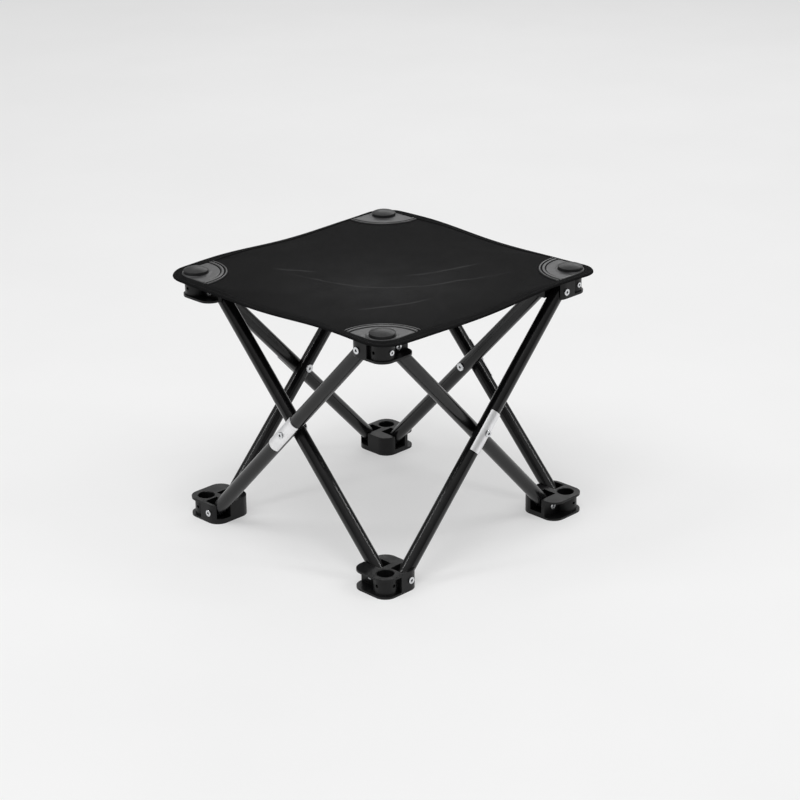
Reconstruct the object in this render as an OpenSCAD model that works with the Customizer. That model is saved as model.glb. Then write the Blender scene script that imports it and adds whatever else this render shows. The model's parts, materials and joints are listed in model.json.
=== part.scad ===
// Folding camp stool: four crossed pairs of steel tubes between four plastic feet and four plastic hubs,
// with a square cloth seat that is held down on the hubs by four round caps.
// Millimetres, +Z up, origin on the floor below the middle of the seat. The stool is drawn open.
// Corners are counted from above: 1 at (-X, -Y), 2 at (+X, -Y), 3 at (+X, +Y), 4 at (-X, +Y).
// Side k runs from corner k to corner k + 1. Its outer tube rises from foot k to hub k + 1, and its inner
// tube rises from foot k + 1 to hub k.

/* [Tubes] */
// outside diameter of every tube
tube_d = 16; // [10:0.5:25]
// wall thickness of every tube
tube_wall = 1; // [0.8:0.1:2]
// gap between an outer tube and the inner tube it crosses
cross_gap = 0.6; // [0.3:0.1:3]
// distance from a tube's end pivot to its end
tube_overhang = 5; // [3:0.5:8]
// distance from the middle of a side to each end pivot, with the stool open
pivot_half_span = 123; // [80:1:200]

/* [Heights] */
// height of the pivots in the feet
foot_pivot_z = 12.4; // [10:0.1:20]
// height of the pivots in the hubs
hub_pivot_z = 273.5; // [150:0.5:450]
// height of a foot
foot_h = 23; // [20:0.5:40]
// height of a hub
hub_h = 24; // [20:0.5:40]
// height from the floor to the top of a hub
hub_top_z = 289.5; // [170:0.5:470]

/* [Feet and hubs] */
// distance from the middle of the stool to the line of the outer tubes
outer_line = 149.3; // [100:0.1:220]
// distance from the middle of the stool to the caps, along X and along Y
cap_line = 145.5; // [100:0.1:220]
// distance from the middle of the stool to the outer faces of the feet
foot_out = 161.5; // [110:0.5:240]
// distance from the middle of the stool to the outer faces of the hubs
hub_out = 160.2; // [110:0.5:240]
// distance from the middle of the stool to the inner faces of the feet and hubs
block_in = 109; // [70:0.5:190]
// corner radius of a foot or hub
block_r = 14.3; // [5:0.1:20]
// thickness of the plate that closes a foot's underside or a hub's top
plate_t = 2.5; // [2:0.1:4]
// thickness of the ear on the open side of a foot or hub
ear_t = 2.6; // [2:0.1:4]
// outside diameter of the round post in a foot or hub
post_d = 26; // [20:0.5:30]
// diameter of the hole in the round post
post_hole_d = 18.5; // [8:0.5:22]
// diameter of the small cross holes in the round post
pin_hole_d = 3.8; // [2:0.1:5]
// height of the sill across the mouth of each tube slot
sill_h = 6; // [3:0.1:6.2]
// width of that sill along the slot
sill_w = 6.2; // [2:0.1:6.2]

/* [Rivets] */
// diameter of a rivet's shaft
rivet_d = 5; // [3:0.1:8]
// diameter of a rivet's head
rivet_head_d = 7.6; // [5:0.1:12]
// height of a rivet's head
rivet_head_h = 1.3; // [0.8:0.1:3]
// diameter of the hollow in a rivet's head
rivet_eye_d = 3; // [1:0.1:5]
// diameter of the head on the inner side of a crossing
washer_d = 9.4; // [6:0.1:16]

/* [Saddle plates] */
// length of the bright plate on a crossing
saddle_l = 50; // [20:1:90]
// thickness of the bright plate on a crossing
saddle_t = 0.9; // [0.5:0.1:2]
// angle that the plate wraps to each side of the tube's outer line
saddle_wrap = 64; // [30:1:85]

/* [Seat] */
// width of the seat cloth
seat_w = 345; // [220:1:480]
// corner radius of the seat cloth
seat_r = 30; // [12:1:60]
// thickness of the seat cloth
cloth_t = 0.8; // [0.4:0.1:2]
// how far the middle of the seat hangs below the hubs
seat_dip = 2.5; // [1:0.5:30]
// width of the hem round the seat
hem_w = 10; // [5:0.5:20]
// distance from the middle of the seat to the lines where the cloth bends up as the stool folds
fold_line = 105.4; // [70:0.1:200]
// radius of the corner patches
patch_r = 51; // [30:0.5:80]
// how far the middle of a patch's round edge is set out from the cap, along X and along Y
patch_shift = 11.5; // [0:0.5:20]
// thickness of the corner patches
patch_t = 0.9; // [0.5:0.1:3]

/* [Caps] */
// diameter of a cap
cap_d = 27.5; // [20:0.5:40]
// height of a cap's straight rim
cap_rim_h = 3.5; // [1:0.1:5]
// height of a cap's dome above its rim
cap_dome_h = 3.1; // [1:0.1:10]
// diameter of the cap's stem in the hub
stem_d = 18.2; // [6:0.1:22]

/* [Hidden] */
$fn = 64;
fit = 0.06;                                  // radial clearance of a rivet in a turning tube
snug = 0.02;                                 // radial clearance of a rivet in its own foot, hub or saddle
tube_r = tube_d / 2;
inner_line = outer_line - tube_d - cross_gap;
rise = hub_pivot_z - foot_pivot_z;
pivot_gap = sqrt(pow(2 * pivot_half_span, 2) + rise * rise);   // pivot to pivot along a tube
tube_tilt = atan(2 * pivot_half_span / rise);                  // a tube's angle from the vertical
slot_half = tube_r + 0.4;
slot_end = pivot_half_span + sqrt(pow(tube_overhang, 2) + tube_r * tube_r) + 0.57;
post_r = post_d / 2;
outer_wall_in = outer_line + slot_half;      // inside of the flush wall over an outer tube
recess_face = inner_line + slot_half + 4.7;  // outside of the set-back wall beside an inner tube
groove_at = slot_end + 4;                    // where the flush wall ends beside the round post
cross_z = (foot_pivot_z + hub_pivot_z) / 2;
half_w = seat_w / 2;
cloth_z = hub_top_z + 0.2;                   // underside of the cloth on the hubs
wing_tilt = atan(seat_dip / fold_line);
wing_gap = 0.2;                              // half of the gap drawn between two quarters of the cloth
patch_z = cloth_z + cloth_t + 0.05;
cap_z = patch_z + patch_t + 0.1;             // underside of a cap
pin_z = 276;                                 // height of the pin that holds a cap's stem
pin_d = 3.6;
foot_hole_z = 12.3;
rim_bevel = 0.7;                             // bevel round the top of the hole in a foot's post

// corner points of a rectangle with round corners, for polygon()
function round_rect(lo, hi, r, steps = 10) = [
    for (c = [[hi - r, hi - r, 0], [lo + r, hi - r, 90], [lo + r, lo + r, 180], [hi - r, lo + r, 270]])
        for (i = [0 : steps])
            [c[0] + r * cos(c[2] + i * 90 / steps), c[1] + r * sin(c[2] + i * 90 / steps)]
];

// --- helpers --------------------------------------------------------------------------------------

// turns a piece drawn for side 1 to side k
module side(k) rotate([0, 0, 90 * (k - 1)]) children();

// turns a piece drawn for the (+X, +Y) corner to corner k
module corner(k) rotate([0, 0, 90 * (k - 3)]) children();

// puts a piece drawn upright at the origin on side 1's crossing, along the outer or the inner tube
module on_outer_tube() translate([0, -outer_line, cross_z]) rotate([0, tube_tilt, 0]) children();
module on_inner_tube() translate([0, -inner_line, cross_z]) rotate([0, -tube_tilt, 0]) children();

// a tube with cross holes at both end pivots and in the middle
module tube() difference() {
    cylinder(h = pivot_gap + 2 * tube_overhang, r = tube_r, center = true);
    cylinder(h = pivot_gap + 2 * tube_overhang + 2, r = tube_r - tube_wall, center = true);
    for (z = [-pivot_gap / 2, 0, pivot_gap / 2])
        translate([0, 0, z]) rotate([90, 0, 0])
            cylinder(h = tube_d + 2, d = rivet_d + 2 * fit, center = true, $fn = 32);
}

// a rivet whose head stands on z = 0 and whose shaft runs down to z = -l
module rivet(l, head_d = rivet_head_d) difference() {
    union() {
        translate([0, 0, -l]) cylinder(h = l + rivet_head_h / 2, d = rivet_d, $fn = 32);
        cylinder(h = rivet_head_h, d = head_d, $fn = 40);
    }
    translate([0, 0, rivet_head_h - 1]) cylinder(h = 2, d = rivet_eye_d, $fn = 24);
}

// a slot for a tube on the line y = 0, open towards -X over a low sill
module tube_slot(h) {
    translate([block_in + sill_w, -slot_half, plate_t])
        cube([slot_end - block_in - sill_w, 2 * slot_half, h]);
    translate([block_in - 1, -slot_half, sill_h])
        cube([slot_end - block_in + 1, 2 * slot_half, h]);
}

// A foot, or a hub turned over: a closed plate at z = 0, two slots for the tube ends, a solid block between
// them, and a round post at the corner. Drawn for the (+X, +Y) corner, outer tube on the +Y side.
module block(h, pivot_h, out) difference() {
    linear_extrude(height = h) polygon(round_rect(block_in, out, block_r));
    translate([0, outer_line, 0]) tube_slot(h);
    translate([inner_line, 0, 0]) mirror([1, -1, 0]) tube_slot(h);
    // set-back face beside the inner tube and room round the post, between the plate and the ear
    difference() {
        union() {
            translate([recess_face, block_in - 1, plate_t])
                cube([out, groove_at - block_in + 1, h - plate_t - ear_t]);
            translate([groove_at, groove_at - 0.5, plate_t]) cube([out, out, h - plate_t - ear_t]);
        }
        translate([cap_line, cap_line, 0]) cylinder(h = h, r = post_r);
    }
    // pivot holes
    translate([pivot_half_span, out + 1, pivot_h]) rotate([90, 0, 0])
        cylinder(h = out + 1 - inner_line - 3, d = rivet_d + 2 * snug, $fn = 32);
    translate([out + 1, pivot_half_span, pivot_h]) rotate([0, -90, 0])
        cylinder(h = out + 1 - inner_line + slot_half + 5.3, d = rivet_d + 2 * snug, $fn = 32);
}

// --- feet -----------------------------------------------------------------------------------------

module foot() color("#1b1b1d") difference() {
    block(foot_h, foot_pivot_z, foot_out);
    translate([cap_line, cap_line, plate_t]) cylinder(h = foot_h, d = post_hole_d);
    // bevelled rim of that hole
    translate([cap_line, cap_line, foot_h - rim_bevel])
        cylinder(h = 2 * rim_bevel, r1 = post_hole_d / 2, r2 = post_hole_d / 2 + 2 * rim_bevel);
    for (turn = [0, 90])
        translate([cap_line, cap_line, foot_hole_z]) rotate([0, 90, turn])
            cylinder(h = 2 * post_r, d = pin_hole_d, $fn = 24);
}

// one rivet for the outer tube and one for the inner tube
module foot_rivets() color("#b9bbbe") {
    translate([pivot_half_span, foot_out, foot_pivot_z]) rotate([-90, 0, 0])
        rivet(foot_out - inner_line - 3.4);
    translate([recess_face, pivot_half_span, foot_pivot_z]) rotate([0, 90, 0])
        rivet(recess_face - inner_line + slot_half + 5);
}

// --- hubs -----------------------------------------------------------------------------------------

// turns a piece drawn as a foot over onto the hub's place
module as_hub() translate([0, 0, hub_top_z]) mirror([0, 0, 1]) mirror([1, -1, 0]) children();

// the pin that holds a cap goes in from the X face on even corners and from the Y face on odd ones
module hub(k) color("#1b1b1d") difference() {
    as_hub() block(hub_h, hub_top_z - hub_pivot_z, hub_out);
    translate([cap_line, cap_line, hub_top_z - hub_h - 1]) cylinder(h = hub_h + 2, d = post_hole_d);
    translate([cap_line, cap_line, pin_z]) rotate([0, 90, 90 * (k % 2)])
        cylinder(h = 2 * post_r, d = pin_d + 2 * snug, $fn = 24);
    translate([cap_line, cap_line, pin_z]) rotate([0, -90, 90 * (k % 2)])
        cylinder(h = post_r - 1.5, d = pin_d + 2 * snug, $fn = 24);
    translate([cap_line, cap_line, pin_z]) rotate([0, 90, 90 - 90 * (k % 2)])
        cylinder(h = 2 * post_r, d = pin_hole_d, $fn = 24);
}

// one rivet for the outer tube and one for the inner tube
module hub_rivets() color("#b9bbbe") as_hub() {
    translate([pivot_half_span, hub_out, hub_top_z - hub_pivot_z]) rotate([-90, 0, 0])
        rivet(hub_out - inner_line - 3.4);
    translate([recess_face, pivot_half_span, hub_top_z - hub_pivot_z]) rotate([0, 90, 0])
        rivet(recess_face - inner_line + slot_half + 5);
}

// --- tubes and crossings --------------------------------------------------------------------------

module outer_tube() color("#202124") on_outer_tube() tube();
module inner_tube() color("#202124") on_inner_tube() tube();

// half-round bright plate on the outer side of the outer tube
module saddle() color("#c9cbce") on_outer_tube() difference() {
    intersection() {
        cylinder(h = saddle_l, r = tube_r + saddle_t + 0.05, center = true);
        translate([0, -(tube_r + saddle_t) * (1 + cos(saddle_wrap)) / 2 - 0.5, 0])
            cube([3 * tube_r, (tube_r + saddle_t) * (1 - cos(saddle_wrap)) + 1, saddle_l], center = true);
    }
    cylinder(h = saddle_l + 2, r = tube_r + 0.05, center = true);
    rotate([90, 0, 0]) cylinder(h = 2 * tube_r, d = rivet_d + 2 * snug, $fn = 32);
}

// rivet through a saddle, an outer tube and an inner tube, with a wide head on the inner side
module cross_rivet() color("#b9bbbe") {
    from = outer_line + tube_r + saddle_t + 0.1;
    to = inner_line - tube_r - 0.1;
    translate([0, -from, cross_z]) rotate([90, 0, 0]) rivet(from - to);
    translate([0, -to, cross_z]) rotate([-90, 0, 0]) rivet(1, washer_d);
}

// --- caps -----------------------------------------------------------------------------------------

module cap(k) color("#17171a") {
    dome_r = (pow(cap_d / 2, 2) + pow(cap_dome_h, 2)) / (2 * cap_dome_h);
    difference() {
        union() {
            translate([cap_line, cap_line, cap_z]) cylinder(h = cap_rim_h, d = cap_d);
            intersection() {
                translate([cap_line, cap_line, cap_z + cap_rim_h + cap_dome_h - dome_r])
                    sphere(r = dome_r, $fn = 96);
                translate([cap_line, cap_line, cap_z + 1]) cylinder(h = 20, d = cap_d);
            }
            translate([cap_line, cap_line, hub_top_z - hub_h + 2])
                cylinder(h = cap_z + 1 - hub_top_z + hub_h - 2, d = stem_d);
        }
        translate([cap_line, cap_line, pin_z]) rotate([0, 90, 90 * (k % 2)])
            cylinder(h = 40, d = pin_d + 2 * snug, center = true, $fn = 24);
    }
}

// the pin through the post and the cap's stem, with its head on the outer face of the post
module cap_pin(k) color("#b9bbbe")
    translate([cap_line, cap_line, pin_z]) rotate([0, 90, 90 * (k % 2)]) {
        difference() {
            union() {
                translate([0, 0, 2 - post_r]) cylinder(h = 2 * post_r - 1.5, d = pin_d, $fn = 24);
                translate([0, 0, post_r]) cylinder(h = 1.1, d = 5.8, $fn = 32);
            }
            translate([0, 0, post_r + 0.3]) cylinder(h = 2, d = 2.2, $fn = 24);
        }
    }

// --- seat -----------------------------------------------------------------------------------------

// the square of cloth on top of a hub, with the hole for the cap's stem
module seat_corner() color("#26272b") translate([0, 0, cloth_z]) difference() {
    linear_extrude(height = cloth_t) intersection() {
        polygon(round_rect(-half_w, half_w, seat_r));
        translate([fold_line + wing_gap, fold_line + wing_gap]) square(half_w);
    }
    translate([cap_line, cap_line, -1]) cylinder(h = cloth_t + 2, d = stem_d + 0.6);
}

// stiff patch sewn on the cloth under a cap: round towards the seat's middle, straight along the hem
module patch() color("#4b4d52") translate([0, 0, patch_z]) difference() {
    intersection() {
        translate([cap_line + patch_shift, cap_line + patch_shift, 0]) cylinder(h = patch_t, r = patch_r);
        translate([0, 0, -1]) linear_extrude(height = patch_t + 2)
            polygon(round_rect(-half_w + hem_w, half_w - hem_w, seat_r - hem_w));
        translate([fold_line + 0.4, fold_line + 0.4, -1]) cube([half_w, half_w, patch_t + 2]);
    }
    translate([cap_line, cap_line, -1]) cylinder(h = patch_t + 2, d = stem_d + 0.6);
}

// Half of the cloth between the seat's middle and a hub: a strip along the edge and a triangle towards the
// middle of the seat. It bends on the hub's side at fold_line and hangs down by seat_dip at the middle.
module wing_plate() color("#26272b")
    translate([fold_line - wing_gap, 0, cloth_z + cloth_t]) rotate([0, -wing_tilt, 0])
        translate([0, 0, -cloth_t]) linear_extrude(height = cloth_t) polygon([
            [0, half_w], [2 * wing_gap - fold_line, half_w],
            [2 * wing_gap - fold_line, 3 * wing_gap], [0, fold_line + wing_gap]]);

module seat_wing_a() wing_plate();
module seat_wing_b() mirror([1, -1, 0]) wing_plate();

// --- nodes ----------------------------------------------------------------------------------------

module outer_tube_1() side(1) outer_tube();
module outer_tube_2() side(2) outer_tube();
module outer_tube_3() side(3) outer_tube();
module outer_tube_4() side(4) outer_tube();
module inner_tube_1() side(1) inner_tube();
module inner_tube_2() side(2) inner_tube();
module inner_tube_3() side(3) inner_tube();
module inner_tube_4() side(4) inner_tube();
module foot_1() corner(1) foot();
module foot_2() corner(2) foot();
module foot_3() corner(3) foot();
module foot_4() corner(4) foot();
module hub_1() corner(1) hub(1);
module hub_2() corner(2) hub(2);
module hub_3() corner(3) hub(3);
module hub_4() corner(4) hub(4);
module foot_rivets_1() corner(1) foot_rivets();
module foot_rivets_2() corner(2) foot_rivets();
module foot_rivets_3() corner(3) foot_rivets();
module foot_rivets_4() corner(4) foot_rivets();
module hub_rivets_1() corner(1) hub_rivets();
module hub_rivets_2() corner(2) hub_rivets();
module hub_rivets_3() corner(3) hub_rivets();
module hub_rivets_4() corner(4) hub_rivets();
module cross_rivet_1() side(1) cross_rivet();
module cross_rivet_2() side(2) cross_rivet();
module cross_rivet_3() side(3) cross_rivet();
module cross_rivet_4() side(4) cross_rivet();
module saddle_1() side(1) saddle();
module saddle_2() side(2) saddle();
module saddle_3() side(3) saddle();
module saddle_4() side(4) saddle();
module cap_1() corner(1) cap(1);
module cap_2() corner(2) cap(2);
module cap_3() corner(3) cap(3);
module cap_4() corner(4) cap(4);
module cap_pin_1() corner(1) cap_pin(1);
module cap_pin_2() corner(2) cap_pin(2);
module cap_pin_3() corner(3) cap_pin(3);
module cap_pin_4() corner(4) cap_pin(4);
module patch_1() corner(1) patch();
module patch_2() corner(2) patch();
module patch_3() corner(3) patch();
module patch_4() corner(4) patch();
module seat_corner_1() corner(1) seat_corner();
module seat_corner_2() corner(2) seat_corner();
module seat_corner_3() corner(3) seat_corner();
module seat_corner_4() corner(4) seat_corner();
module seat_wing_1a() corner(1) seat_wing_a();
module seat_wing_2a() corner(2) seat_wing_a();
module seat_wing_3a() corner(3) seat_wing_a();
module seat_wing_4a() corner(4) seat_wing_a();
module seat_wing_1b() corner(1) seat_wing_b();
module seat_wing_2b() corner(2) seat_wing_b();
module seat_wing_3b() corner(3) seat_wing_b();
module seat_wing_4b() corner(4) seat_wing_b();

outer_tube_1();
outer_tube_2();
outer_tube_3();
outer_tube_4();
inner_tube_1();
inner_tube_2();
inner_tube_3();
inner_tube_4();
foot_1();
foot_2();
foot_3();
foot_4();
hub_1();
hub_2();
hub_3();
hub_4();
foot_rivets_1();
foot_rivets_2();
foot_rivets_3();
foot_rivets_4();
hub_rivets_1();
hub_rivets_2();
hub_rivets_3();
hub_rivets_4();
cross_rivet_1();
cross_rivet_2();
cross_rivet_3();
cross_rivet_4();
saddle_1();
saddle_2();
saddle_3();
saddle_4();
cap_1();
cap_2();
cap_3();
cap_4();
cap_pin_1();
cap_pin_2();
cap_pin_3();
cap_pin_4();
patch_1();
patch_2();
patch_3();
patch_4();
seat_corner_1();
seat_corner_2();
seat_corner_3();
seat_corner_4();
seat_wing_1a();
seat_wing_2a();
seat_wing_3a();
seat_wing_4a();
seat_wing_1b();
seat_wing_2b();
seat_wing_3b();
seat_wing_4b();
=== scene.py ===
"""Looks for the folding camp stool.

Black tubes, plastic feet and hubs, bright rivets and a stitched cloth seat. The seat is one sheet
of cloth. It is made here in pieces that meet without a gap: for each corner a square on the hub,
two strips that bend up at the hub's edge as the stool folds, and two gussets that gather towards
the middle. Every piece is cut from the same height field, so the open seat reads as one sheet.
"""

import json
import math

import bpy
from mathutils import Matrix, Vector, noise


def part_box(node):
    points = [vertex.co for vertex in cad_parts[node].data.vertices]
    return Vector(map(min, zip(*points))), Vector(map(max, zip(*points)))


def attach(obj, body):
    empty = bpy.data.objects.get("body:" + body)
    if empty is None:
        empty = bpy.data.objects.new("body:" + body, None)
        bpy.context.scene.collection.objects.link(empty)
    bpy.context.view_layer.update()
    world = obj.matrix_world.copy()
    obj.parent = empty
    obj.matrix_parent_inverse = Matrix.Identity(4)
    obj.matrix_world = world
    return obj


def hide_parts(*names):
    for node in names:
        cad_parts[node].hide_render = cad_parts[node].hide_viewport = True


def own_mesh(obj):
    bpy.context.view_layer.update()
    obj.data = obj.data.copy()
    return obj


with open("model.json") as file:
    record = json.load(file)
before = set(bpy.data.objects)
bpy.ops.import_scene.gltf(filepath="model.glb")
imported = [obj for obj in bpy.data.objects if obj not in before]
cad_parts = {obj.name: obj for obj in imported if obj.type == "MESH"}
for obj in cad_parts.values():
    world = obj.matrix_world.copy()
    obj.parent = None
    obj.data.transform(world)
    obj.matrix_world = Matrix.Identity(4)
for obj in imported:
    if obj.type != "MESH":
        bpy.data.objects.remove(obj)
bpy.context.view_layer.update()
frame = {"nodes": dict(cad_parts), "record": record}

MM = 0.001
CORNERS = (1, 2, 3, 4)

# sizes read from the frame, for the corner at (+X, +Y)
seat_low, seat_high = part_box("seat_corner_3")
patch_low, patch_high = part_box("patch_3")
cap_low, cap_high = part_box("cap_3")
HALF_SEAT = seat_high.x
FOLD = seat_low.x - 0.2 * MM  # the cloth bends here, just inside the hub
CLOTH_LOW, CLOTH_HIGH = seat_low.z, seat_high.z
CAP_LINE = (cap_low.x + cap_high.x) / 2
CAP_R = (cap_high.x - cap_low.x) / 2

# the patch's round edge is drawn about a point further out than the cap
PATCH_OUT = 11.5 * MM
PATCH_MIDDLE = CAP_LINE + PATCH_OUT
PATCH_R = PATCH_MIDDLE - patch_low.x

# the seat's outline and how it hangs between the hubs
SEAT_R = 30 * MM
STEM_HOLE = 9.4 * MM
MIDDLE_DIP = 6 * MM
EDGE_DIP = 2.6 * MM  # how much the middle of a side hangs
EDGE_LIFT = 2.1 * MM  # how much a side stands up before one corner and drops before the other
EDGE_RISE = 0.5 * MM  # how much all of a side stands up
LIFT_HALF_WAVE = 165 * MM
SWAY_REACH = 13 * MM  # how far in from the edge the sway reaches at a hub
SWAY_REACH_MORE = 45 * MM  # and how much further in the middle of a side

# shallow wrinkles in the cloth
FLAT_RIM = 4 * MM
WRINKLE_FADE = 40 * MM
# the two sets of wrinkles: radians a metre, how far they reach, share of the height, phase
WRINKLE_WAVES = ((95, 120 * MM, 1.0, 0.0), (80, 110 * MM, 0.7, 1.3))
WRINKLE_H = 0.32 * MM
RIPPLE_H = 0.35 * MM
RIPPLE_SCALE = 32
WANDER = 14 * MM
WANDER_SCALE = 9

# the hem, of tape folded over the edge
HEM = 10 * MM
HEM_RISE = 0.95 * MM
HEM_ROUND = 1.2 * MM
HEM_DROOP = 1.6 * MM
DROOP_W = 13 * MM
HEM_STEP_W = 0.7 * MM  # width of the slope from the tape down to the cloth
HEM_SEAM = HEM - 1.9 * MM
EDGE_SEAM = 2.6 * MM
SEAM_DENT = 0.22 * MM
SEAM_DENT_W = 0.8 * MM

# stitches
STITCH = 2.3 * MM
STITCH_STEP = 3.3 * MM
STITCH_W = 0.5 * MM
STITCH_SIDES = 6
# a stitch's rings of points: share of its length, share of its width
STITCH_RINGS = ((-0.5, 0.35), (-0.28, 1.0), (0.28, 1.0), (0.5, 0.35))

# paler fold lines across the cloth: mm ahead of the seat's middle, mm to the right, half length, tilt
CREASES = ((44, 20, 130, 0.0), (-6, 65, 45, -0.26), (112, 12, 42, -0.4), (-9, -98, 26, 0.2))
CREASE_BOW = 2.5
CREASE_W = 3 * MM
# how far ahead of the seat's middle the painted pool of light on the cloth is centred
SHEEN_POOL_AHEAD = 30 * MM

# the vinyl patch
PATCH_RINGS = (3.2 * MM, 7.9 * MM)  # insets of the sewn grooves from the patch's round edge
GROOVE = 1.7 * MM
GROOVE_DEPTH = 1.25 * MM
GROOVE_SLOPE = 0.8 * MM
BEAD_H = 0.8 * MM
BEAD_SLOPE = 1.5 * MM
BULGE_H = 0.9 * MM  # the vinyl swells round the cap
BULGE_OUT = 1.6 * MM
BULGE_W = 1.3 * MM
EDGE_ROUND = 1.0 * MM
THINNEST = 0.25 * MM
PATCH_STEPS = 180
PATCH_HOLE = STEM_HOLE + 0.4 * MM
# rings of points: shares of the way across the disc, then insets from the patch's round edge
DISC_SHARES = (0, 0.15, 0.3, 0.4, 0.45, 0.5, 0.55, 0.6, 0.65, 0.7, 0.8, 0.9, 1)
PATCH_INSETS = [0.45 * MM * n for n in range(20, 2, -1)]
PATCH_INSETS += [inset * MM for inset in (1, 0.7, 0.4, 0.2, 0.08, 0)]


# --- materials ------------------------------------------------------------------------------------


class Graph:
    """A material's node graph, with short calls for the nodes used here."""

    def __init__(self, name):
        self.material = bpy.data.materials.new(name)
        self.material.use_nodes = True
        self.nodes = self.material.node_tree.nodes
        self.links = self.material.node_tree.links
        self.shader = self.nodes["Principled BSDF"]
        self.place = self.nodes.new("ShaderNodeTexCoord").outputs["Object"]

    def add(self, kind, **settings):
        """A new node. A setting named like an input fills or links it, any other is an attribute."""
        node = self.nodes.new(kind)
        for key, value in settings.items():
            socket = node.inputs.get(key.replace("_", " ").title())
            if socket is None or hasattr(node, key):
                setattr(node, key, value)
            else:
                self.feed(socket, value)
        return node

    def feed(self, socket, value):
        if isinstance(value, bpy.types.NodeSocket):
            self.links.new(value, socket)
        else:
            socket.default_value = value

    def noise(self, scale, detail=3.0, roughness=0.5, vector=None):
        node = self.add("ShaderNodeTexNoise", vector=vector or self.place, scale=scale, detail=detail)
        node.inputs["Roughness"].default_value = roughness
        return node.outputs["Fac"]

    def stretched(self, factors):
        node = self.add("ShaderNodeMapping", vector=self.place, scale=factors)
        return node.outputs["Vector"]

    def waves(self, period, direction, vector=None):
        """Bands across direction, one for each period metres."""
        node = self.add("ShaderNodeTexWave", vector=vector or self.place, scale=math.tau / 20 / period)
        node.bands_direction = direction
        return node.outputs["Fac"]

    def spread(self, value, low, high, from_low=0.3, from_high=0.7):
        """value, mapped from its usual range onto low to high."""
        node = self.nodes.new("ShaderNodeMapRange")
        for index, number in enumerate((value, from_low, from_high, low, high)):
            self.feed(node.inputs[index], number)
        return node.outputs["Result"]

    def math(self, operation, a, b):
        node = self.nodes.new("ShaderNodeMath")
        node.operation = operation
        self.feed(node.inputs[0], a)
        self.feed(node.inputs[1], b)
        return node.outputs["Value"]

    def dot(self, direction):
        """Distance of a place along a direction."""
        node = self.add("ShaderNodeVectorMath", operation="DOT_PRODUCT")
        self.feed(node.inputs[0], self.place)
        node.inputs[1].default_value = direction
        return node.outputs["Value"]

    def mix(self, share, low, high):
        """A colour between low and high."""
        node = self.nodes.new("ShaderNodeMix")
        node.data_type = "RGBA"
        self.feed(node.inputs[0], share)
        self.feed(node.inputs[6], (*low, 1) if isinstance(low, tuple) else low)
        self.feed(node.inputs[7], (*high, 1) if isinstance(high, tuple) else high)
        return node.outputs[2]

    def bump(self, height, distance, strength=1.0, normal=None):
        node = self.nodes.new("ShaderNodeBump")
        node.inputs["Strength"].default_value = strength
        node.inputs["Distance"].default_value = distance
        self.feed(node.inputs["Height"], height)
        if normal is not None:
            self.feed(node.inputs["Normal"], normal)
        return node.outputs["Normal"]

    def soft_edges(self, radius):
        """Rounds hard edges in the shading, as moulded and rolled edges are."""
        node = self.nodes.new("ShaderNodeBevel")
        node.samples = 4
        node.inputs["Radius"].default_value = radius
        return node.outputs["Normal"]

    def open_to_light(self, distance):
        """1 on open surfaces, 0 in hollows, where painted shade goes."""
        node = self.nodes.new("ShaderNodeAmbientOcclusion")
        node.samples = 8
        node.inputs["Distance"].default_value = distance
        return self.spread(node.outputs["AO"], 0, 1, 0.55, 0.9)

    def finish(self, color, roughness, normal=None, **sockets):
        self.feed(self.shader.inputs["Base Color"], (*color, 1) if isinstance(color, tuple) else color)
        self.feed(self.shader.inputs["Roughness"], roughness)
        if normal is not None:
            self.feed(self.shader.inputs["Normal"], normal)
        for key, value in sockets.items():
            self.shader.inputs[key.replace("_", " ")].default_value = value
        return self.material


def tube_paint():
    """Black powder coat on steel: a fine orange peel and faint handling marks."""
    g = Graph("tube_paint")
    peel = g.noise(1400, detail=2)
    marks = g.noise(60, detail=6, roughness=0.7, vector=g.stretched((1, 1, 0.25)))
    color = g.mix(g.spread(marks, 0, 1, 0.45, 0.75), (0.0035, 0.0035, 0.0038), (0.008, 0.008, 0.0085))
    return g.finish(color, g.spread(marks, 0.14, 0.26), g.bump(peel, 0.03 * MM, 0.5), Specular_IOR_Level=0.4)


def moulded_plastic():
    """Black glass-filled nylon: spark-eroded grain and slightly rounded edges."""
    g = Graph("moulded_plastic")
    grain = g.noise(2200, detail=2)
    cloud = g.noise(90, detail=4)
    color = g.mix(g.spread(cloud, 0, 1), (0.004, 0.004, 0.0043), (0.008, 0.008, 0.0085))
    normal = g.bump(grain, 0.06 * MM, 0.5, g.soft_edges(0.5 * MM))
    return g.finish(color, g.spread(cloud, 0.32, 0.46), normal, Specular_IOR_Level=0.26)


def cap_plastic():
    """Smoother black plastic, polished by use on top of the dome."""
    g = Graph("cap_plastic")
    grain = g.noise(1500, detail=2)
    paler_marks = g.noise(150, detail=5, roughness=0.65)
    color = g.mix(g.spread(paler_marks, 0, 1), (0.009, 0.009, 0.0093), (0.016, 0.016, 0.0165))
    normal = g.bump(grain, 0.04 * MM, 0.35, g.soft_edges(0.6 * MM))
    return g.finish(color, g.spread(paler_marks, 0.34, 0.46), normal, Specular_IOR_Level=0.45)


def rivet_steel():
    """Bright zinc-plated steel with fine tool marks, and painted shade in its hollows."""
    g = Graph("rivet_steel")
    marks = g.noise(900, detail=4)
    tone = g.noise(250, detail=3)
    color = g.mix(g.spread(tone, 0, 1), (0.56, 0.57, 0.59), (0.78, 0.79, 0.80))
    # painted shade: the steel made near black in hollows and recesses, where shade falls
    color = g.mix(g.open_to_light(1.6 * MM), (0.02, 0.02, 0.02), color)
    normal = g.bump(marks, 0.03 * MM, 0.4, g.soft_edges(0.4 * MM))
    return g.finish(color, g.spread(marks, 0.16, 0.34), normal, Metallic=1.0)


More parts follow.
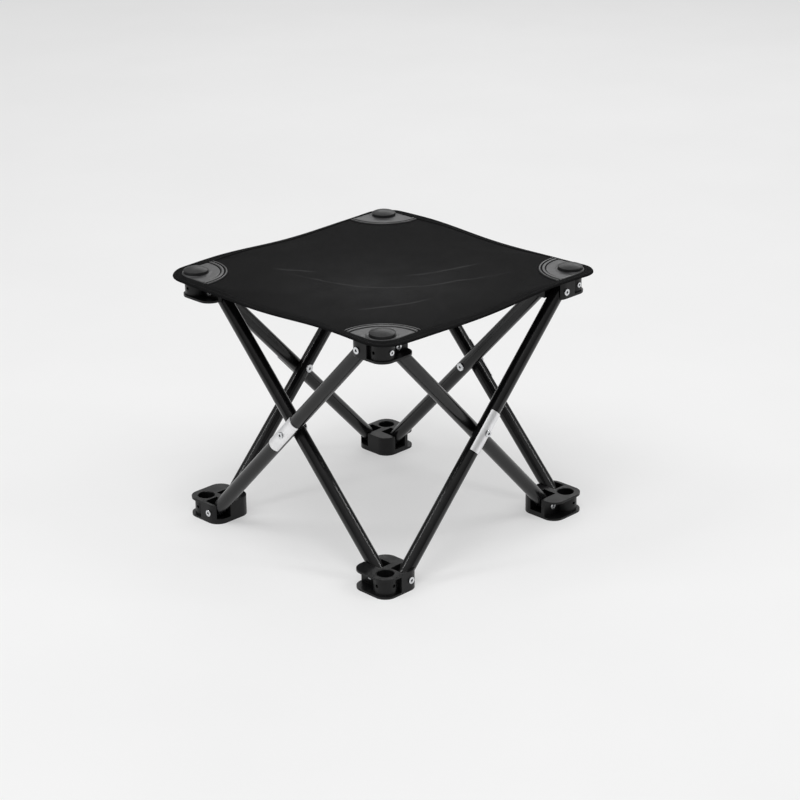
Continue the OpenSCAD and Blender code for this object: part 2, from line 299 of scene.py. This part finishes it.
def plate_metal():
    """Satin aluminium sheet, rolled round the tube, with long fine scratches."""
    g = Graph("plate_metal")
    scratches = g.noise(400, detail=5, roughness=0.7, vector=g.stretched((1, 1, 6)))
    tone = g.noise(70, detail=3)
    color = g.mix(g.spread(tone, 0, 1), (0.82, 0.82, 0.83), (0.93, 0.93, 0.94))
    normal = g.bump(scratches, 0.03 * MM, 0.4, g.soft_edges(0.3 * MM))
    return g.finish(color, g.spread(scratches, 0.34, 0.52), normal, Metallic=1.0)


def weave(g, period):
    """A plain weave: warp and weft that cross over each other, with uneven threads."""
    uneven = g.add("ShaderNodeTexNoise", vector=g.place, scale=260.0, detail=2.0)
    shifted = g.add("ShaderNodeVectorMath", operation="MULTIPLY_ADD")
    g.feed(shifted.inputs[0], uneven.outputs["Color"])
    shifted.inputs[1].default_value = (0.25 * MM,) * 3
    g.feed(shifted.inputs[2], g.place)
    place = shifted.outputs["Vector"]
    across = g.waves(period, "X", place)
    along = g.waves(period, "Y", place)
    return g.math("MULTIPLY", across, along), g.math("MAXIMUM", across, along)


def creases(g):
    """Paler fold lines that run from side corner to side corner and bow towards the front corner."""
    slant = math.sqrt(0.5)
    across = g.dot((slant, -slant, 0))
    forward = g.dot((-slant, -slant, 0))
    wander = g.spread(g.noise(22, detail=3), -3 * MM, 3 * MM)
    forward = g.math("ADD", forward, wander)
    total = 0.0
    for ahead, middle, half_length, tilt in CREASES:
        from_middle = g.math("SUBTRACT", across, middle * MM)
        bow = g.math("MULTIPLY", g.math("MULTIPLY", from_middle, from_middle), CREASE_BOW)
        line = g.math("ADD", bow, g.math("MULTIPLY", from_middle, -tilt))
        off = g.math("ABSOLUTE", g.math("ADD", g.math("SUBTRACT", forward, ahead * MM), line), 0.0)
        along = g.math("ABSOLUTE", from_middle, 0.0)
        ends = g.spread(along, 1, 0, 0.5 * half_length * MM, half_length * MM)
        total = g.math("ADD", g.math("MULTIPLY", ends, g.spread(off, 1, 0, 0, CREASE_W)), total)
    return g.math("MULTIPLY", total, g.spread(g.noise(45, detail=2), 0.35, 1))


def painted_sheen_pool(g):
    """Painted light: the cloth made paler in a pool of sheen, most a little ahead of the seat's middle, none
    towards the edges.
    """
    away = g.add("ShaderNodeVectorMath", operation="DISTANCE")
    g.feed(away.inputs[0], g.place)
    away.inputs[1].default_value = (-SHEEN_POOL_AHEAD, -SHEEN_POOL_AHEAD, CLOTH_HIGH)
    near = g.spread(away.outputs["Value"], 1, 0, 20 * MM, 150 * MM)
    return g.math("MULTIPLY", near, g.spread(g.noise(26, detail=3), 0.4, 1))


def seat_cloth():
    """Black coated polyester with a coarse plain weave, a faint sheen and dusty high threads."""
    g = Graph("seat_cloth")
    crossings, threads = weave(g, 1.1 * MM)
    cloud = g.noise(28, detail=5, roughness=0.6)
    lint = g.noise(520, detail=2, roughness=0.8)
    deep = g.mix(g.spread(cloud, 0, 1), (0.004, 0.004, 0.0042), (0.0065, 0.0065, 0.0067))
    color = g.mix(g.spread(threads, 0, 0.5, 0.2, 1.0), deep, (0.0095, 0.0095, 0.0097))
    # painted light: the cloth paler in a pool a little ahead of the seat's middle, standing for the sheen
    # there
    color = g.mix(g.spread(painted_sheen_pool(g), 0, 0.75, 0, 1), color, (0.023, 0.023, 0.0234))
    color = g.mix(g.spread(lint, 0, 0.4, 0.72, 0.84), color, (0.024, 0.024, 0.0245))
    paler_marks = creases(g)
    # the cloth made paler along the fold lines
    color = g.mix(g.spread(paler_marks, 0, 0.7, 0, 1), color, (0.055, 0.055, 0.0555))
    normal = g.bump(g.math("ADD", crossings, threads), 0.12 * MM, 0.5)
    normal = g.bump(paler_marks, 0.5 * MM, 0.6, normal)
    return g.finish(color, g.spread(threads, 0.8, 0.66), normal, Specular_IOR_Level=0.04)


def binding_tape():
    """Denser black tape folded over the cloth's edge, with a fine rib."""
    g = Graph("binding_tape")
    crossings, threads = weave(g, 0.62 * MM)
    cloud = g.noise(45, detail=4)
    color = g.mix(g.spread(cloud, 0, 1), (0.0045, 0.0045, 0.0047), (0.007, 0.007, 0.0072))
    color = g.mix(g.spread(threads, 0, 0.5, 0.2, 1.0), color, (0.0105, 0.0105, 0.0108))
    normal = g.bump(g.math("ADD", crossings, threads), 0.12 * MM, 0.6)
    return g.finish(color, g.spread(crossings, 0.75, 0.62), normal, Specular_IOR_Level=0.03)


def patch_vinyl():
    """Dark grey vinyl: a pebbled leather grain with a soft shine."""
    g = Graph("patch_vinyl")
    pebbles = g.add("ShaderNodeTexVoronoi", vector=g.place, scale=900.0)
    pebbles.feature = "SMOOTH_F1"
    cloud = g.noise(120, detail=4)
    color = g.mix(g.spread(cloud, 0, 1), (0.026, 0.026, 0.027), (0.042, 0.042, 0.043))
    normal = g.bump(pebbles.outputs["Distance"], 0.14 * MM, 0.6)
    return g.finish(color, g.spread(cloud, 0.34, 0.46), normal, Specular_IOR_Level=0.6)


def rolled_vinyl():
    """The same vinyl where it is rolled and stitched round the patch: smooth, dark and shiny."""
    g = Graph("rolled_vinyl")
    grain = g.noise(900, detail=3)
    cloud = g.noise(160, detail=3)
    color = g.mix(g.spread(cloud, 0, 1), (0.02, 0.02, 0.0205), (0.03, 0.03, 0.0305))
    normal = g.bump(grain, 0.02 * MM, 0.3)
    return g.finish(color, g.spread(cloud, 0.28, 0.38), normal, Specular_IOR_Level=0.7)


def shaded_groove():
    """The vinyl pressed down under the stitches: painted near black for the shade in the groove, and dull.
    """
    g = Graph("shaded_groove")
    cloud = g.noise(300, detail=3)
    # painted shade: near black colour for the shade that falls in the sewn grooves
    color = g.mix(g.spread(cloud, 0, 1), (0.003, 0.003, 0.003), (0.006, 0.006, 0.006))
    return g.finish(color, g.spread(cloud, 0.7, 0.85), Specular_IOR_Level=0.1)


def sewing_thread():
    """Waxed black thread with its twist."""
    g = Graph("sewing_thread")
    twist = g.waves(0.35 * MM, "DIAGONAL")
    color = g.mix(twist, (0.005, 0.005, 0.0053), (0.016, 0.016, 0.0165))
    normal = g.bump(twist, 0.08 * MM, 0.8)
    return g.finish(color, g.spread(twist, 0.7, 0.55, 0, 1), normal, Specular_IOR_Level=0.2)


def floor_paint():
    """Pale studio floor, very slightly mottled."""
    g = Graph("floor_paint")
    cloud = g.noise(3, detail=3)
    g.shader.inputs["Emission Color"].default_value = (1, 1, 1, 1)
    color = g.mix(g.spread(cloud, 0, 1), (0.44, 0.44, 0.44), (0.46, 0.46, 0.46))
    return g.finish(color, 0.8, Emission_Strength=0.42, Specular_IOR_Level=0.1)


PAINT = {
    "tube": tube_paint(),
    "moulding": moulded_plastic(),
    "rivet": rivet_steel(),
    "plate": plate_metal(),
    "cap": cap_plastic(),
    "patch": patch_vinyl(),
    "cloth": seat_cloth(),
}
BINDING = binding_tape()
ROLLED = rolled_vinyl()
GROOVE_SHADE = shaded_groove()
THREAD = sewing_thread()


def paint_frame():
    """Gives each CAD node the material of its slot."""
    for part in frame["record"]["subparts"]:
        mesh = frame["nodes"][part["node"]].data
        mesh.materials.clear()
        mesh.materials.append(PAINT[part["material_slot"]])


# --- the seat's height field ----------------------------------------------------------------------


def smooth(t):
    t = min(max(t, 0.0), 1.0)
    return t * t * (3 - 2 * t)


def edge_distance(x, y):
    """Distance inwards from the seat's round-cornered outline."""
    qx = abs(x) - (HALF_SEAT - SEAT_R)
    qy = abs(y) - (HALF_SEAT - SEAT_R)
    if qx > 0 and qy > 0:
        return SEAT_R - math.hypot(qx, qy)
    return HALF_SEAT - max(abs(x), abs(y))


def hang(distance):
    """Share of the dip at a distance from the seat's middle line: 1 there, 0 at the hubs."""
    return (1 + math.cos(math.pi * min(abs(distance) / FOLD, 1.0))) / 2


def wrinkles(x, y):
    """Shallow creases that run between the hubs, fading out at the hubs and the hem."""
    across, along = (x - y) / math.sqrt(2), (x + y) / math.sqrt(2)
    free = smooth((edge_distance(x, y) - FLAT_RIM) / WRINKLE_FADE)
    away = 1 - (1 - hang(x)) * (1 - hang(y))
    wander = WANDER * noise.noise(Vector((x * WANDER_SCALE, y * WANDER_SCALE, 3.1)))
    waves = 0.0
    ways = ((across + wander, along), (along - wander, across))
    for (speed, reach, share, phase), (over, beside) in zip(WRINKLE_WAVES, ways):
        waves += share * math.sin(over * speed + phase) * math.exp(-((beside / reach) ** 2))
    ripple = noise.noise(Vector((x * RIPPLE_SCALE, y * RIPPLE_SCALE, 7.7)))
    return free * away * (WRINKLE_H * waves + RIPPLE_H * ripple)


def edge_sway(along, inset):
    """The pulled edge of one side: it hangs a little in the middle and stands up before the far corner."""
    reach = SWAY_REACH + SWAY_REACH_MORE * hang(along)
    share = smooth(1 - inset / reach)
    lift = EDGE_LIFT * math.sin(math.pi * max(-1.0, min(along / LIFT_HALF_WAVE, 1.0)))
    return share * (lift - EDGE_DIP * hang(along) + EDGE_RISE)


def middle_height(x, y):
    """Height of the middle of the cloth's thickness."""
    dip = MIDDLE_DIP * hang(x) * hang(y)
    sway = edge_sway(x, HALF_SEAT + y) + edge_sway(y, HALF_SEAT - x)
    sway += edge_sway(-x, HALF_SEAT - y) + edge_sway(-y, HALF_SEAT + x)
    droop = HEM_DROOP * max(0.0, 1 - edge_distance(x, y) / DROOP_W) ** 2
    return (CLOTH_LOW + CLOTH_HIGH) / 2 - dip + sway - droop + wrinkles(x, y)


def half_thickness(x, y):
    """(above, below) the middle: the binding tape makes the edge thicker, and its outer edge is round."""
    d = edge_distance(x, y)
    tape = HEM_RISE * (1 - smooth((d - HEM + 0.5 * MM) / HEM_STEP_W))
    dimple = SEAM_DENT * math.exp(-(((d - HEM_SEAM) / SEAM_DENT_W) ** 2))
    cloth = (CLOTH_HIGH - CLOTH_LOW) / 2
    round_off = math.sqrt(max(0.0, 1 - max(0.0, 1 - d / HEM_ROUND) ** 2))
    return (cloth + tape - dimple) * round_off, (cloth + 0.5 * tape) * round_off


def top(x, y):
    return middle_height(x, y) + half_thickness(x, y)[0]


def bottom(x, y):
    return middle_height(x, y) - half_thickness(x, y)[1]


def slope_normal(surface, x, y, up):
    """Normal of a height field, the same on both sides of a cut between two pieces."""
    step = 0.15 * MM
    dx = (surface(x + step, y) - surface(x - step, y)) / (2 * step)
    dy = (surface(x, y + step) - surface(x, y - step)) / (2 * step)
    return Vector((-dx, -dy, 1)).normalized() * up


# --- meshes of the cloth --------------------------------------------------------------------------


def turned(corner):
    """Turns the corner at (+X, +Y) to another corner."""
    return Matrix.Rotation(math.radians(90 * (corner - 3)), 3, "Z")


def lines(low, high, step):
    count = max(1, round((high - low) / step))
    return [low + (high - low) * i / count for i in range(count + 1)]


# grid lines of the cloth, closer together where the hem rises and where its edge is round
GRID_STEP = 4 * MM
HEM_INSETS = (12, 10.4, 10.2, 10, 9.8, 9.6, 9.3, 8.7, 8.1, 7.5, 5, 2.5, 1.2, 0.7, 0.35, 0.12, 0)
INNER_LINES = lines(0, FOLD, GRID_STEP)
OUTER_LINES = lines(FOLD, HALF_SEAT - 16 * MM, GRID_STEP) + [HALF_SEAT - d * MM for d in HEM_INSETS]


def rounded(x, y):
    """Pulls the square corner of a grid in to the seat's round corner."""
    c = HALF_SEAT - SEAT_R
    dx, dy = x - c, y - c
    if dx <= 0 or dy <= 0:
        return x, y
    pull = max(dx, dy) / math.hypot(dx, dy)
    return c + dx * pull, c + dy * pull


def grid_cells(rows, columns, keep):
    """The cells of a grid as rings of points. keep(ring) returns a cell, a cut cell or nothing."""
    cells = []
    for left, right in zip(columns, columns[1:]):
        for low, high in zip(rows, rows[1:]):
            ring = [(left, low), (right, low), (right, high), (left, high)]
            if keep is not None:
                ring = keep(ring)
            if ring:
                cells.append([rounded(x, y) for x, y in ring])
    return cells


def rim_faces(edges):
    """Faces that close a sheet along its open edges. Each edge has its two ends above and below."""
    faces = []
    for uses in edges.values():
        if len(uses) == 1:
            a, b, c, d = uses[0]
            ring = [b, a, c, d]
            ring = [v for n, v in enumerate(ring) if v != ring[n - 1]]
            if len(ring) > 2:
                faces.append(ring)
    return faces


def new_piece(mesh, materials):
    """Puts a smooth-shaded mesh into the scene as a piece of the same name."""
    for material in materials:
        mesh.materials.append(material)
    mesh.polygons.foreach_set("use_smooth", [True] * len(mesh.polygons))
    piece = bpy.data.objects.new(mesh.name, mesh)
    bpy.context.scene.collection.objects.link(piece)
    return piece


def sheet_piece(name, corner, rows, columns, keep=None, swap=False):
    """A closed piece of the cloth over a grid of lines.

    It is drawn for the (+X, +Y) corner and turned to its place, and swap exchanges X and Y first.
    """
    turn = turned(corner)
    index, points, normals = {}, [], []

    def vertex(x, y, side):
        key = (round(x * 1e6), round(y * 1e6), side if edge_distance(x, y) > 1e-7 else 0)
        if key not in index:
            place = turn @ Vector((y, x, 0) if swap else (x, y, 0))
            surface = top if side > 0 else bottom
            index[key] = len(points)
            points.append((place.x, place.y, surface(place.x, place.y)))
            normals.append(slope_normal(surface, place.x, place.y, side))
        return index[key]

    faces, kinds, sides = [], [], []
    edges = {}
    for ring in grid_cells(rows, columns, keep):
        middle = [sum(p[axis] for p in ring) / len(ring) for axis in (0, 1)]
        kind = 1 if edge_distance(*middle) < HEM - 0.1 * MM else 0
        above = [vertex(x, y, 1) for x, y in ring]
        below = [vertex(x, y, -1) for x, y in ring]
        if swap:
            above.reverse()
            below.reverse()
        faces += [above, below[::-1]]
        kinds += [kind, kind]
        sides += [1, -1]
        for n in range(len(ring)):
            after = (n + 1) % len(ring)
            ends = (above[n], above[after], below[n], below[after])
            edges.setdefault(frozenset(ends[:2]), []).append(ends)
    rim = rim_faces(edges)
    faces += rim
    kinds += [0] * len(rim)
    sides += [0] * len(rim)

    mesh = bpy.data.meshes.new(name)
    mesh.from_pydata(points, [], faces)
    piece = new_piece(mesh, (PAINT["cloth"], BINDING))
    mesh.polygons.foreach_set("material_index", kinds)
    split = []
    for polygon, side in zip(mesh.polygons, sides):
        for v in polygon.vertices:
            split.append(normals[v] if side else polygon.normal.copy())
    mesh.normals_split_custom_set(split)
    return piece


def around_stem(ring):
    """Leaves the cap's stem clear."""
    near = min(math.hypot(x - CAP_LINE, y - CAP_LINE) for x, y in ring)
    return None if near < STEM_HOLE else ring


def above_diagonal(ring):
    """Cuts a grid cell along the seat's diagonal, keeping the side where y is greater."""
    (x0, y0), (x1, y1) = ring[0], ring[2]
    if y1 <= x0 + 1e-9:
        return None
    if y0 >= x1 - 1e-9:
        return ring
    return [(x0, y0), (x1, y1), (x0, y1)]


# --- sewing ---------------------------------------------------------------------------------------


def stitch_row(name, places):
    """One mesh of stitches. Each place is (point, direction along the row, normal)."""
    rings, sides, points, faces = STITCH_RINGS, STITCH_SIDES, [], []
    for point, along, normal in places:
        side = along.cross(normal)
        first = len(points)
        for share, width in rings:
            for n in range(sides):
                turn = math.tau * n / sides
                out = side * math.cos(turn) + normal * 0.7 * math.sin(turn)
                points.append(point + along * share * STITCH + out * width * STITCH_W / 2)
        for r in range(len(rings) - 1):
            for n in range(sides):
                a, b = first + r * sides + n, first + r * sides + (n + 1) % sides
                faces.append((a, b, b + sides, a + sides))
        faces.append([first + n for n in reversed(range(sides))])
        faces.append([first + (len(rings) - 1) * sides + n for n in range(sides)])
    mesh = bpy.data.meshes.new(name)
    mesh.from_pydata(points, [], faces)
    return new_piece(mesh, (THREAD,))


def on_seat(corner, x, y, along, swap=False):
    """A stitch's place on top of the seat, given at the (+X, +Y) corner."""
    turn = turned(corner)
    place = turn @ Vector((y, x, 0) if swap else (x, y, 0))
    way = turn @ Vector((along[1], along[0], 0) if swap else (along[0], along[1], 0))
    normal = slope_normal(top, place.x, place.y, 1)
    point = Vector((place.x, place.y, top(place.x, place.y))) + normal * 0.08 * MM
    return point, (way - normal * way.dot(normal)).normalized(), normal


def strip_stitches(corner, inset, swap):
    """Stitches along the straight part of the hem, from the middle of the side to the fold."""
    count = round(FOLD / STITCH_STEP)
    return [
        on_seat(corner, FOLD * (n + 0.5) / count, HALF_SEAT - inset, (1, 0), swap)
        for n in range(count)
    ]


def corner_stitches(corner, inset):
    """Stitches along the hem round a seat corner."""
    c, r = HALF_SEAT - SEAT_R, SEAT_R - inset
    straight = c - FOLD
    total = 2 * straight + math.pi / 2 * r
    count = round(total / STITCH_STEP)
    places = []
    for n in range(count):
        s = total * (n + 0.5) / count
        if s < straight:
            places.append(on_seat(corner, c + r, FOLD + s, (0, 1)))
        elif s > total - straight:
            places.append(on_seat(corner, FOLD + total - s, c + r, (-1, 0)))
        else:
            a = (s - straight) / r
            way = (-math.sin(a), math.cos(a))
            places.append(on_seat(corner, c + r * math.cos(a), c + r * math.sin(a), way))
    return places


# --- patches --------------------------------------------------------------------------------------


def patch_inset(x, y):
    """Distance inwards from the patch's round edge."""
    return PATCH_R - math.hypot(x - PATCH_MIDDLE, y - PATCH_MIDDLE)


def patch_edge(x, y):
    """Distance inwards from the patch's whole outline: its round edge or the hem, whichever is nearer."""
    return min(patch_inset(x, y), edge_distance(x, y) - HEM)


def from_cap(r, angle):
    return CAP_LINE + r * math.cos(angle), CAP_LINE + r * math.sin(angle)


def patch_reach(angle, distance, inset):
    """How far a line from the cap's axis runs until distance(x, y) falls to inset."""
    near, far = 0.8 * CAP_R, 2 * PATCH_R
    while far - near > 0.01 * MM:
        middle = (near + far) / 2
        if distance(*from_cap(middle, angle)) > inset:
            near = middle
        else:
            far = middle
    return near


def patch_height(x, y):
    """Height of the patch above its underside: two sewn grooves, the bulge at the cap, a rolled edge."""
    inset, r = patch_inset(x, y), math.hypot(x - CAP_LINE, y - CAP_LINE)
    thick = patch_high.z - patch_low.z
    grooves = sum(math.exp(-(((inset - ring) / GROOVE_SLOPE) ** 2)) for ring in PATCH_RINGS)
    bead = BEAD_H * (1 - smooth((inset - PATCH_RINGS[1]) / BEAD_SLOPE))
    bulge = BULGE_H * math.exp(-(((r - CAP_R - BULGE_OUT) / BULGE_W) ** 2))
    free = smooth((r - CAP_R + 1.0 * MM) / BEAD_SLOPE)
    edge = math.sqrt(max(0.0, 1 - max(0.0, 1 - patch_edge(x, y) / EDGE_ROUND) ** 2))
    height = thick + (bead + bulge) * free - GROOVE_DEPTH * grooves
    return max(height, THINNEST) * max(edge, 0.1)


def vinyl_kind(inset):
    """Material at a distance from the round edge: 0 the disc, 1 the rolled band, 2 a sewn groove, painted
    dark as shade.
    """
    if min(abs(inset - ring) for ring in PATCH_RINGS) < GROOVE / 2:
        return 2
    return 1 if inset < PATCH_RINGS[1] else 0


def patch_radii(angle):
    """Distances of the patch's points from the cap's axis, along one line from its hole to its edge."""
    reach = patch_reach(angle, patch_edge, 0)
    disc = min(patch_reach(angle, patch_inset, PATCH_INSETS[0] + 0.5 * MM), 0.97 * reach)
    radii = [PATCH_HOLE + (disc - PATCH_HOLE) * share for share in DISC_SHARES]
    for n, inset in enumerate(PATCH_INSETS):
        bunched = disc + (reach - disc) * (n + 1) / len(PATCH_INSETS)
        clear = reach - 0.02 * MM * (len(PATCH_INSETS) - 1 - n)
        here = min(patch_reach(angle, patch_inset, inset), clear)
        radii.append(here if here > radii[-1] + 0.001 * MM else bunched)
    return radii


def patch_faces(count):
    """Faces over two layers of points, the upper one first, with count points on each line."""
    faces = []
    under = PATCH_STEPS * count
    for n in range(PATCH_STEPS):
        near, far = n * count, (n + 1) % PATCH_STEPS * count
        for r in range(count - 1):
            a, b, c, d = near + r, near + r + 1, far + r + 1, far + r
            faces.append((a, b, c, d))
            faces.append((d + under, c + under, b + under, a + under))
        faces.append((near, far, far + under, near + under))
        near += count - 1
        far += count - 1
        faces.append((far, near, near + under, far + under))
    return faces


def patch_piece(corner):
    """Vinyl patch on a hub, as a closed polar mesh round the cap's stem."""
    turn = turned(corner)
    points, insets = [], []
    for level in (1, 0):
        for n in range(PATCH_STEPS):
            angle = math.tau * n / PATCH_STEPS
            for r in patch_radii(angle):
                x, y = from_cap(r, angle)
                place = turn @ Vector((x, y, 0))
                points.append((place.x, place.y, patch_low.z + level * patch_height(x, y)))
                insets.append(patch_inset(x, y))
    faces = patch_faces(len(DISC_SHARES) + len(PATCH_INSETS))
    mesh = bpy.data.meshes.new(f"patch_vinyl_{corner}")
    mesh.from_pydata(points, [], faces)
    piece = new_piece(mesh, (PAINT["patch"], ROLLED, GROOVE_SHADE))
    kinds = [vinyl_kind(sum(insets[v] for v in face) / len(face)) for face in faces]
    mesh.polygons.foreach_set("material_index", kinds)
    return piece


def ring_stitches(corner):
    """Stitches in the patch's two grooves, where the grooves are inside the hem."""
    turn, places = turned(corner), []
    for ring in PATCH_RINGS:
        r = PATCH_R - ring
        count = round(math.tau * r / STITCH_STEP)
        for n in range(count):
            a = math.tau * n / count
            x, y = PATCH_MIDDLE + r * math.cos(a), PATCH_MIDDLE + r * math.sin(a)
            if patch_edge(x, y) > 1.2 * MM:
                place = turn @ Vector((x, y, 0))
                way = turn @ Vector((-math.sin(a), math.cos(a), 0))
                z = patch_low.z + patch_height(x, y) + 0.02 * MM
                places.append((Vector((place.x, place.y, z)), way, Vector((0, 0, 1))))
    return places


# --- the seat -------------------------------------------------------------------------------------


def corner_of_seat(corner):
    """The cloth, patch and stitches that stay flat on a hub."""
    body = f"hub_{corner}_body"
    cloth = sheet_piece(f"cloth_corner_{corner}", corner, OUTER_LINES, OUTER_LINES, around_stem)
    hem = stitch_row(f"hem_stitches_{corner}", corner_stitches(corner, HEM_SEAM))
    edge = stitch_row(f"edge_stitches_{corner}", corner_stitches(corner, EDGE_SEAM))
    patch = patch_piece(corner)
    rings = stitch_row(f"patch_stitches_{corner}", ring_stitches(corner))
    for piece in (cloth, hem, edge, patch, rings):
        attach(piece, body)
    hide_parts(f"seat_corner_{corner}")
    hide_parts(f"patch_{corner}")


def wing_of_seat(corner, half):
    """The strip and gusset on one side of a hub: a runs along side k, b along side k - 1."""
    swap = half == "b"
    body = f"wing_{corner}{half}_body"
    strip = sheet_piece(f"cloth_strip_{corner}{half}", corner, OUTER_LINES, INNER_LINES, swap=swap)
    gusset_name = f"cloth_gusset_{corner}{half}"
    gusset = sheet_piece(gusset_name, corner, INNER_LINES, INNER_LINES, above_diagonal, swap)
    hem = stitch_row(f"hem_stitches_{corner}{half}", strip_stitches(corner, HEM_SEAM, swap))
    edge = stitch_row(f"edge_stitches_{corner}{half}", strip_stitches(corner, EDGE_SEAM, swap))
    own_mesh(gusset)
    for piece in (strip, gusset, hem, edge):
        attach(piece, body)
    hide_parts(f"seat_wing_{corner}{half}")


# --- studio ---------------------------------------------------------------------------------------

AIM = Vector((12.2, -12.2, 137.7)) * MM
CAMERA_AZIMUTH = -44.97
CAMERA_ELEVATION = 21.99
CAMERA_ROLL = -0.564
CAMERA_DISTANCE = 2.484
LENS = 99.23
FLOOR_HALF = 30  # metres
# the sky's strength, from the height where it starts to brighten to the height where it is full
SKY = {"From Min": 0.15, "From Max": 0.8, "To Min": 0.2, "To Max": 0.6}
# soft boxes: azimuth from the camera's, elevation, distance, width, height, watts
SOFT_BOXES = {
    "top": (0, 82, 2.6, 0.4, 0.4, 8),
    "front": (-12, 68, 2.6, 1.2, 0.8, 16),
    "left": (-75, 50, 2.6, 0.06, 1.5, 9),
    "right": (80, 49, 2.6, 0.06, 1.5, 9),
    "back": (168, 34, 3.0, 2.2, 0.9, 12),
}


def outward(azimuth, elevation):
    """Direction from the stool to a place round it. Azimuth 0 is in front, towards -Y."""
    a, e = math.radians(azimuth), math.radians(elevation)
    return Vector((math.sin(a) * math.cos(e), -math.cos(a) * math.cos(e), math.sin(e)))


def camera():
    data = bpy.data.cameras.new("camera")
    data.lens = LENS
    cam = bpy.data.objects.new("camera", data)
    bpy.context.scene.collection.objects.link(cam)
    back = outward(CAMERA_AZIMUTH, CAMERA_ELEVATION)
    right = Vector((0, 0, 1)).cross(back).normalized()
    up = back.cross(right)
    r = math.radians(CAMERA_ROLL)
    rolled_right = right * math.cos(r) + up * math.sin(r)
    rolled_up = up * math.cos(r) - right * math.sin(r)
    axes = Matrix((rolled_right, rolled_up, back)).transposed()
    cam.matrix_world = Matrix.Translation(AIM + back * CAMERA_DISTANCE) @ axes.to_4x4()
    bpy.context.scene.camera = cam


def soft_box(name, azimuth, elevation, distance, width, height, watts):
    data = bpy.data.lights.new(name, "AREA")
    data.shape = "RECTANGLE"
    data.size, data.size_y, data.energy = width, height, watts
    light = bpy.data.objects.new(name, data)
    bpy.context.scene.collection.objects.link(light)
    way = outward(azimuth, elevation)
    light.location = way * distance
    light.rotation_mode = "QUATERNION"
    light.rotation_quaternion = way.to_track_quat("Z", "Y")


def pale_floor():
    mesh = bpy.data.meshes.new("floor")
    ends = (-FLOOR_HALF, FLOOR_HALF)
    points = [(x, y, 0) for y in ends for x in ends]
    mesh.from_pydata(points, [], [(0, 1, 3, 2)])
    mesh.materials.append(floor_paint())
    floor = bpy.data.objects.new("floor", mesh)
    bpy.context.scene.collection.objects.link(floor)


def sky():
    """A white sky that is brighter overhead."""
    world = bpy.data.worlds.new("studio")
    world.use_nodes = True
    nodes, links = world.node_tree.nodes, world.node_tree.links
    direction = nodes.new("ShaderNodeTexCoord")
    height = nodes.new("ShaderNodeSeparateXYZ")
    ramp = nodes.new("ShaderNodeMapRange")
    links.new(direction.outputs["Generated"], height.inputs["Vector"])
    links.new(height.outputs["Z"], ramp.inputs["Value"])
    for key, value in SKY.items():
        ramp.inputs[key].default_value = value
    links.new(ramp.outputs["Result"], nodes["Background"].inputs["Strength"])
    nodes["Background"].inputs["Color"].default_value = (1, 1, 1, 1)
    bpy.context.scene.world = world


def studio():
    pale_floor()
    sky()
    for name, (turn, *rest) in SOFT_BOXES.items():
        soft_box(name, CAMERA_AZIMUTH + turn, *rest)
    bpy.context.scene.view_settings.view_transform = "Standard"


paint_frame()
for corner in CORNERS:
    corner_of_seat(corner)
    wing_of_seat(corner, "a")
    wing_of_seat(corner, "b")
studio()
camera()
